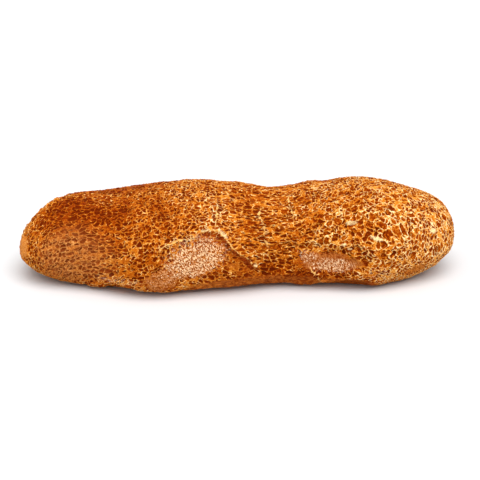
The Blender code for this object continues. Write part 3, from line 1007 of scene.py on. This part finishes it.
def hollow_colour(crust, strokes):
    """The smooth crust of the floured hollows."""
    n = crust.n
    hollow = n.tint(n.fade(strokes, 0.40, 0.50, 1.0, 0.0), *HOLLOW)
    return n.tint(n.times(crust.baked, 0.6), hollow, HOLLOW_BAKED_AND_SHADE)


def sole_colour(crust):
    """The uncrackled underside and foot, mottled in long streaks."""
    n = crust.n
    stretched = n.noise(n.squeezed(strayed(n, crust.place, 3.0, 4.0), 0.34, 1.0), 1.6, 4.0, 0.75)
    sole = n.tint(n.fade(stretched, 0.42, 0.58), *SOLE)
    # darker where the crust is darker: painted shade low on the front, and baked crust
    return n.tint(n.times(crust.baked, 0.45), sole, SOLE[1])


def dust_share(crust, strokes):
    """How much flour dust lies on the crust: in strokes, less under the painted shade below the lip, and
    less in darker crust, both baked and painted shade.
    """
    n = crust.n
    return n.times(n.fade(strokes, 0.515, 0.56), frayed(n, "flour", crust.place, 0.15, 0.9),
                   n.linear(crust.lip_painted_shade, -0.78, 0.78), n.linear(crust.baked, -0.3, 1.0))


def crust_colour(crust):
    """The colour of the crust, with each kind of surface, and the painted shade under the lip, laid over
    those before it.
    """
    n = crust.n
    streaks = n.noise(n.squeezed(crust.place, 0.38, 1.0), 1.7, 3.0, 0.7)
    strokes = flour_strokes(crust)
    colour = crackled_colour(crust, streaks)
    for share, over in (
        (n.times(n.read("dotted"), 0.7), tan_colour(crust)),
        (n.times(crust.bare, 0.9), bald_colour(crust)),
        (n.linear(crust.crackled, -0.9, 0.9), hollow_colour(crust, strokes)),
        # painted shade: the wall under the torn lip, darkened and mottled
        (n.times(crust.lip_painted_shade, 0.75), n.tint(n.fade(streaks, 0.35, 0.65), *LIP_WALL_SHADE)),
        (n.times(crust.lip, 0.85), LIP_EDGE),
        (n.times(crust.seam, 0.8), SEAM),
        (crust.flakes, FLAKE),
        (n.times(crust.foot, 0.7), sole_colour(crust)),
        (dust_share(crust, strokes), DUST),
    ):
        colour = n.tint(share, colour, over)
    return colour


def crust_material():
    """The crust: coloured by its cells and regions, with a little of their relief again."""
    material, n, shader = new_material("crust")
    crust = Crust(n)
    n.put(shader.inputs["Base Color"], crust_colour(crust))
    n.put(shader.inputs["Roughness"], n.blend(crust.floor, 0.5, 0.7))
    shader.inputs["Specular IOR Level"].default_value = CRUST_SHINE
    relief = n.times(cell_relief(crust), 0.7)
    relief = n.linear(n.noise(crust.place, 0.8, 3.0, 0.7), 0.5, relief)
    bump = n.make("ShaderNodeBump", {"Height": relief, "Distance": MM, "Strength": 0.8})
    n.put(shader.inputs["Normal"], bump.outputs[0])
    return material


def flour_material():
    """Grains of flour, each with its own whiteness."""
    material, n, shader = new_material("flour")
    n.put(shader.inputs["Base Color"], n.tint(n.read("whiteness"), *GRAINS))
    shader.inputs["Roughness"].default_value = MATTE_ROUGHNESS
    shader.inputs["Specular IOR Level"].default_value = MATTE_SHINE
    return material


def ground_material():
    """The plain light ground."""
    material, _, shader = new_material("floor")
    shader.inputs["Base Color"].default_value = GROUND
    shader.inputs["Roughness"].default_value = MATTE_ROUGHNESS
    shader.inputs["Specular IOR Level"].default_value = MATTE_SHINE
    return material


# ---- the pieces ----
GRAIN_DENSITY = 0.30           # grains per square millimetre where the flour is thickest
GRAIN_RADII = (0.26, 0.58)
GRAIN_SHAPE = (1.0, 0.8, 0.6)  # a grain is a ball squashed to these shares
FULL_TURN = (6.28, 6.28, 6.28)
PLACE_SEED = 5
SIZE_SEED = 7
TURN_SEED = 8
WHITENESS_SEED = 9


def add_object(name, data):
    """A new object in the scene."""
    thing = bpy.data.objects.new(name, data)
    bpy.context.scene.collection.objects.link(thing)
    return thing


def dress(thing, material):
    """Make this the only material of an object."""
    thing.data.materials.clear()
    thing.data.materials.append(material)


def add_loaf():
    """The crust, as one piece."""
    loaf = add_object("crackled_loaf", crust_mesh())
    sink_cells(loaf)
    dress(loaf, crust_material())
    return loaf


def drawn_number(n, least, most, seed):
    """A random number for each grain; the node has limits for numbers at inputs 2 and 3."""
    return n.make("FunctionNodeRandomValue", {2: least, 3: most, "Seed": seed}).outputs[1]


def drawn_turn(n):
    """A random turn for each grain; the node has limits for directions at inputs 0 and 1."""
    return n.make("FunctionNodeRandomValue", {0: (0.0, 0.0, 0.0), 1: FULL_TURN, "Seed": TURN_SEED},
                  data_type="FLOAT_VECTOR").outputs[0]


def grain_places(n, loaf):
    """Places for the grains on the crust, close together where the flour is thick."""
    crust = n.make("GeometryNodeObjectInfo", {"Object": loaf})
    place = n.read("map", vector=True)
    thick = n.times(frayed(n, "flour", place, 0.15, 0.9),
                    n.fade(n.noise(place, 3.0, 2.0, 0.5), 0.35, 0.6, 0.3, 1.0))
    spots = n.make("GeometryNodeDistributePointsOnFaces",
                   {"Mesh": crust.outputs["Geometry"], "Density": n.times(thick, GRAIN_DENSITY / MM ** 2),
                    "Seed": PLACE_SEED})
    return spots.outputs["Points"]


def add_flour(loaf):
    """Loose grains on the floured hollows, as one mesh."""
    tree = geometry_tree("flour_grains")
    n = Nodes(tree)
    end = n.make("NodeGroupOutput")
    ball = n.make("GeometryNodeMeshIcoSphere", {"Radius": 1.0, "Subdivisions": 1})
    grain = n.make("GeometryNodeTransform", {"Geometry": ball.outputs[0], "Scale": GRAIN_SHAPE})
    marked = n.make("GeometryNodeStoreNamedAttribute",
                    {"Geometry": grain_places(n, loaf), "Name": "whiteness",
                     "Value": drawn_number(n, 0.0, 1.0, WHITENESS_SEED)})
    size = drawn_number(n, GRAIN_RADII[0] * MM, GRAIN_RADII[1] * MM, SIZE_SEED)
    laid = n.make("GeometryNodeInstanceOnPoints",
                  {"Points": marked.outputs[0], "Instance": grain.outputs[0],
                   "Rotation": drawn_turn(n), "Scale": size})
    real = n.make("GeometryNodeRealizeInstances", {"Geometry": laid.outputs[0]})
    n.put(end.inputs[0], real.outputs[0])
    grains = add_object("flour_grains", bpy.data.meshes.new("flour_grains"))
    keep_result(grains, tree)
    dress(grains, flour_material())
    return grains


# ---- stage, light and camera ----
CAMERA_TURN = -2.02            # degrees round from the front, to the right
CAMERA_RISE = 20.0             # degrees above the table
DISTANCE = 0.9383
FOCUS = Vector((0.0, 0.00475, 0.038))
FRAME_PIXELS = 480
FOCUS_OFFSET = (-1.98, -16.23)       # where the focus falls, in pixels right and down of the middle
LENS = 90.0
SENSOR = 36.0
VIEW_END = 50.0
GROUND_HALF = 6.0
GROUND_DROP = 0.0002           # keeps the ground just below the flat underside
# Broad, soft lights, like large studio panels: name, turn, rise and spread in degrees, strength.
SUNS = (
    ("key", 20.0, 62.0, 60.0, 3.2),
    ("fill", -60.0, 35.0, 60.0, 0.5),
)
# The white sky changes in strength between these heights, where 1 is straight up, from the
# first value to the second.
SKY_HEIGHTS = (0.05, 0.35)
SKY_STRENGTHS = (1.05, 0.58)


def direction(turn, rise):
    """The direction at a turn round from the front and a rise above the table, in degrees."""
    turn, rise = math.radians(turn), math.radians(rise)
    return Vector((math.sin(turn) * math.cos(rise), -math.cos(turn) * math.cos(rise), math.sin(rise)))


def facing(way):
    """The rotation of a camera or a light that looks this way."""
    return way.to_track_quat("-Z", "Y").to_euler()


def add_camera():
    """The camera, aimed so that the focus falls a little off the middle of its picture."""
    camera = bpy.data.cameras.new("camera")
    camera.lens = LENS
    camera.sensor_width = SENSOR
    camera.clip_end = VIEW_END
    holder = add_object("camera", camera)
    back = direction(CAMERA_TURN, CAMERA_RISE)
    holder.location = FOCUS + back * DISTANCE
    right = (-back).cross(Vector((0, 0, 1))).normalized()
    up = right.cross(-back)
    pixel = DISTANCE * SENSOR / LENS / FRAME_PIXELS
    aim = FOCUS - right * FOCUS_OFFSET[0] * pixel + up * FOCUS_OFFSET[1] * pixel
    holder.rotation_euler = facing(aim - holder.location)
    bpy.context.scene.camera = holder


def add_ground():
    """The ground on which the loaf lies, as part of the stage."""
    mesh = bpy.data.meshes.new("floor")
    plane = bmesh.new()
    bmesh.ops.create_grid(plane, x_segments=1, y_segments=1, size=GROUND_HALF)
    plane.to_mesh(mesh)
    plane.free()
    floor = add_object("floor", mesh)
    floor.location.z = -GROUND_DROP
    mesh.materials.append(ground_material())


def add_sun(name, turn, rise, spread, strength):
    """A broad, soft light from one direction."""
    light = bpy.data.lights.new(name, "SUN")
    light.angle = math.radians(spread)
    light.energy = strength
    lamp = add_object(name, light)
    back = direction(turn, rise)
    lamp.location = back * 2
    lamp.rotation_euler = facing(-back)


def add_studio():
    """White light from all round, stronger low down, and the suns."""
    world = bpy.data.worlds.new("studio")
    world.use_nodes = True
    background = world.node_tree.nodes["Background"]
    background.inputs["Color"].default_value = (1.0, 1.0, 1.0, 1.0)
    n = Nodes(world.node_tree)
    split = n.make("ShaderNodeSeparateXYZ", {"Vector": n.make("ShaderNodeTexCoord").outputs["Generated"]})
    n.put(background.inputs["Strength"], n.fade(split.outputs["Z"], *SKY_HEIGHTS, *SKY_STRENGTHS))
    bpy.context.scene.world = world
    for sun in SUNS:
        add_sun(*sun)
    bpy.context.scene.view_settings.view_transform = "Standard"


add_camera()
add_ground()
add_studio()
loaf = add_loaf()
grains = add_flour(loaf)
for piece in (loaf, grains):
    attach(piece, "root")
    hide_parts("loaf")
